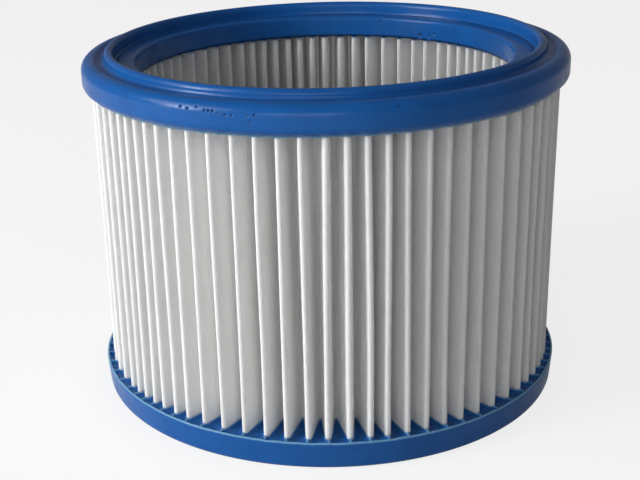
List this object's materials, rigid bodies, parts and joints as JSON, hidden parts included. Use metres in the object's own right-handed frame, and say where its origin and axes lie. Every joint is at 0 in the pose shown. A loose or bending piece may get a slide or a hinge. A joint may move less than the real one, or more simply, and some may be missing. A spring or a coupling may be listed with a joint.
{
  "type": "pleated cartridge vacuum filter",
  "caption": "Round pleated fleece cartridge filter for a wet and dry vacuum, open through the middle, with a cast blue end ring at each end and a raised sealing lip on the top ring.",
  "frame": {"origin": "centre of the bottom ring's flat face, on the cartridge's axis, where the cartridge stands", "axes": "+Z runs along the cartridge's axis, from the bottom ring up to the sealing lip. X and Y are equal, with one pleat tip on +X."},
  "size_m": [0.185, 0.185, 0.135],
  "materials": {
    "fleece": "matte",
    "cast_polyurethane": "satin"
  },
  "bodies": {
    "root": {"pleated_fleece": "fleece", "top_ring": "cast_polyurethane", "bottom_ring": "cast_polyurethane"}
  },
  "joints": []
}
